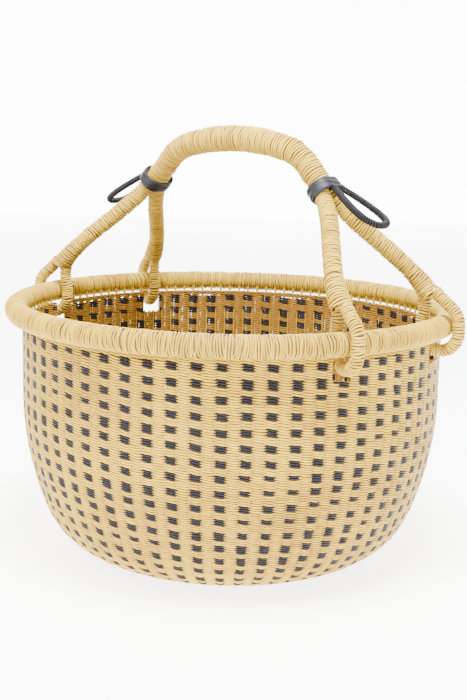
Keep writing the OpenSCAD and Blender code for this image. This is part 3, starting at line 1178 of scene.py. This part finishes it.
class BASKET_OT_rim(bpy.types.Operator):
    """Rim roll wound with one long strand"""

    bl_idname = "basket.rim"
    bl_label = "Rim"

    def execute(self, context):
        settings = context.scene.basket_wrap
        count = 360
        angles = [math.tau * i / count for i in range(count)]
        points = [Vector((RIM_R * math.cos(a), RIM_R * math.sin(a), RIM_Z)) for a in angles]
        rim = wrapped(
            "rim_wrapping",
            points,
            [RIM_ROLL_R] * count,
            "basket",
            settings,
            rim_straw(),
            cyclic=True,
            pitch=0.00188,
            Steps=16,
            Slant=0.0042,
            Wander=0.0012,
            Bump=0.0005,
            Thickness=0.0020,
            Width=0.00172,
            Seed=2.0,
        )
        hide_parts("rim_wrap")
        return {"FINISHED"}


class BASKET_OT_grip(bpy.types.Operator):
    """Wrapped grip of the arched handle"""

    bl_idname = "basket.grip"
    bl_label = "Grip"

    def execute(self, context):
        settings = context.scene.basket_wrap
        points, radii = grip_path()
        grip = wrapped(
            "grip_wrapping",
            points,
            radii,
            "handle",
            settings,
            handle_straw(),
            Steps=18,
            Slant=0.0040,
            Wander=0.0011,
            Bump=0.0007,
            Thickness=0.0021,
            Seed=3.0,
        )
        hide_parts("grip_wrap")
        return {"FINISHED"}


def wrap_corners(part, points, radii, settings, first_seed, **looks):
    """The same wrapped part of the handle at each of its four corners."""
    for number, (corner, signs) in enumerate(CORNERS.items()):
        piece = wrapped(
            f"{part}_wrapping_{corner}",
            [mirrored(p, signs) for p in points],
            radii,
            "handle",
            settings,
            handle_straw(),
            Seed=first_seed + number,
            **looks,
        )
        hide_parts(f"{part}_wrap_{corner}")


class BASKET_OT_legs(bpy.types.Operator):
    """Four wrapped legs, each ending in a fork"""

    bl_idname = "basket.legs"
    bl_label = "Legs"

    def execute(self, context):
        settings = context.scene.basket_wrap
        points, radii = leg_path()
        tip = points[-1]
        points = points + [tip - d * FORK_UP for d in (0.0015, 0.003, 0.0045)]
        radii = radii + [0.0094, 0.0086, 0.0072]
        wrap_corners("leg", points, radii, settings, 11.0, Slant=0.0026, Wander=0.0010, Bump=0.0006)
        return {"FINISHED"}


class BASKET_OT_loops(bpy.types.Operator):
    """Wrapped loops that ride round the rim"""

    bl_idname = "basket.loops"
    bl_label = "Rim loops"

    def execute(self, context):
        settings = context.scene.basket_wrap
        points, radii = loop_path()
        wrap_corners("loop", points, radii, settings, 21.0, Slant=0.0014, Wander=0.0008, Bump=0.0004)
        return {"FINISHED"}


class BASKET_OT_cores(bpy.types.Operator):
    """Grass bundles under the wrappings keep their CAD shape and take their material"""

    bl_idname = "basket.cores"
    bl_label = "Cores"

    def execute(self, context):
        names = ["rim_core", "grip_core"]
        names += [f"{part}_core_{corner}" for part in ("leg", "loop") for corner in CORNERS]
        for name in names:
            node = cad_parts[name]
            node.data.materials.clear()
            node.data.materials.append(core_grass())
        return {"FINISHED"}


class BASKET_OT_collars(bpy.types.Operator):
    """Leather bands round the grip's ends and the legs"""

    bl_idname = "basket.collars"
    bl_label = "Leather collars"

    def execute(self, context):
        for name, sign in (("right", 1), ("left", -1)):
            band = self.band(f"leather_collar_{name}", sign)
            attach(band, "handle")
            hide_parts(f"collar_{name}")
        return {"FINISHED"}

    @staticmethod
    def band(name, sign):
        """A creased band with soft edges, closed round the grip's end and both legs."""
        half_w = LEG_Y + LEG_TOP_R + 0.0006
        half_t = GRIP_END_R + 0.0003
        flat = 2 * (half_w - half_t)
        rounds = math.pi * half_t
        around = 2 * flat + 2 * rounds
        count, rows = 120, 14
        points, faces = [], []
        rng = np.random.default_rng(5 + sign)
        phases = rng.uniform(0, math.tau, 6)
        for i in range(count):
            u = i / count * around
            q, normal = stadium(u, flat, half_t, rounds)
            for j in range(2 * rows):
                outer = j < rows
                v = (j if outer else 2 * rows - 1 - j) / (rows - 1)
                edge = 1 - abs(2 * v - 1) ** 6
                crease = sum(
                    math.sin(math.tau * (k + 2) * v + 3 * math.sin(u / around * math.tau + p) + p)
                    for k, p in enumerate(phases[:3])
                )
                swell = 0.0012 + 0.0005 * edge + 0.00022 * crease * edge if outer else 0.0
                skew = 0.0006 * math.sin(u / around * math.tau + phases[4])
                place = (v - 0.5) * COLLAR_LEN * 0.98 + skew * 0.5
                out = q[0] + normal[0] * swell
                side = q[1] + normal[1] * swell
                at = COLLAR_AT + place * COLLAR_DIR + out * COLLAR_OUT + side * Y_AXIS
                points.append((at.x * sign, at.y, at.z))
        ring = 2 * rows
        for i in range(count):
            for j in range(ring):
                a, b = i * ring + j, i * ring + (j + 1) % ring
                c, d = ((i + 1) % count) * ring + (j + 1) % ring, ((i + 1) % count) * ring + j
                faces.append((a, b, c, d) if sign > 0 else (d, c, b, a))
        mesh = bpy.data.meshes.new(name)
        mesh.from_pydata(points, [], faces)
        mesh.polygons.foreach_set("use_smooth", [True] * len(faces))
        mesh.materials.append(leather())
        return link(bpy.data.objects.new(name, mesh))


def stadium(u, flat, radius, rounds):
    """Point and outward normal at distance u round a stadium outline, as (out, side) pairs."""
    if u < flat:
        return (radius, u - flat / 2), (1, 0)
    if u < flat + rounds:
        a = (u - flat) / radius
        return (radius * math.cos(a), flat / 2 + radius * math.sin(a)), (math.cos(a), math.sin(a))
    if u < 2 * flat + rounds:
        return (-radius, flat / 2 - (u - flat - rounds)), (-1, 0)
    a = (u - 2 * flat - rounds) / radius
    return (-radius * math.cos(a), -flat / 2 - radius * math.sin(a)), (-math.cos(a), -math.sin(a))


class BASKET_OT_hanging_loops(bpy.types.Operator):
    """Dark wrapped cords that hang from the collars"""

    bl_idname = "basket.hanging_loops"
    bl_label = "Hanging loops"

    def execute(self, context):
        settings = context.scene.basket_wrap
        points = cord_path()
        for name, sign in (("right", 1), ("left", -1)):
            line = [Vector((p.x * sign, p.y, p.z)) for p in points]
            cord = wrapped(
                f"hanging_cord_{name}",
                line,
                [CORD_D / 2 + 0.0002] * len(line),
                None,
                settings,
                dyed_straw(),
                pitch=settings.cord_pitch,
                Thickness=0.0017,
                Width=0.0018,
                Steps=14,
                Slant=0.0004,
                Wander=0.0001,
                Bump=0.0001,
                Dyed=1.0,
                Seed=31.0 + sign,
            )
            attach(cord, f"{name}_loop")
            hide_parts(f"hanging_loop_{name}")
        return {"FINISHED"}


class BASKET_PT_panel(bpy.types.Panel):
    """Sizes and build buttons"""

    bl_idname = "BASKET_PT_panel"
    bl_label = "Basket"
    bl_space_type = "VIEW_3D"
    bl_region_type = "UI"
    bl_category = "Basket"

    def draw(self, context):
        layout = self.layout
        for group in (getattr(context.scene, name) for name in GROUPS):
            box = layout.box()
            for prop in group.bl_rna.properties:
                if prop.identifier not in {"rna_type", "name"}:
                    box.prop(group, prop.identifier)
        for operator in BUILD_ORDER:
            layout.operator(operator.bl_idname)


BUILD_ORDER = (
    BASKET_OT_stage,
    BASKET_OT_hanging_loops,
    BASKET_OT_weave,
    BASKET_OT_border,
    BASKET_OT_rim,
    BASKET_OT_grip,
    BASKET_OT_legs,
    BASKET_OT_loops,
    BASKET_OT_cores,
    BASKET_OT_collars,
)
GROUPS = {
    "basket_weave": BasketWeaveSettings,
    "basket_wrap": BasketWrapSettings,
    "basket_stage": BasketStageSettings,
    "basket_colours": BasketColourSettings,
}


def register():
    for group in GROUPS.values():
        bpy.utils.register_class(group)
    for name, group in GROUPS.items():
        setattr(bpy.types.Scene, name, bpy.props.PointerProperty(type=group))
    for operator in BUILD_ORDER:
        bpy.utils.register_class(operator)
    bpy.utils.register_class(BASKET_PT_panel)


def unregister():
    bpy.utils.unregister_class(BASKET_PT_panel)
    for operator in reversed(BUILD_ORDER):
        bpy.utils.unregister_class(operator)
    for name in GROUPS:
        delattr(bpy.types.Scene, name)
    for group in reversed(list(GROUPS.values())):
        bpy.utils.unregister_class(group)


def main():
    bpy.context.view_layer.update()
    register()
    for operator in BUILD_ORDER:
        getattr(bpy.ops.basket, operator.bl_idname.split(".")[1])()


if __name__ == "__main__":
    main()
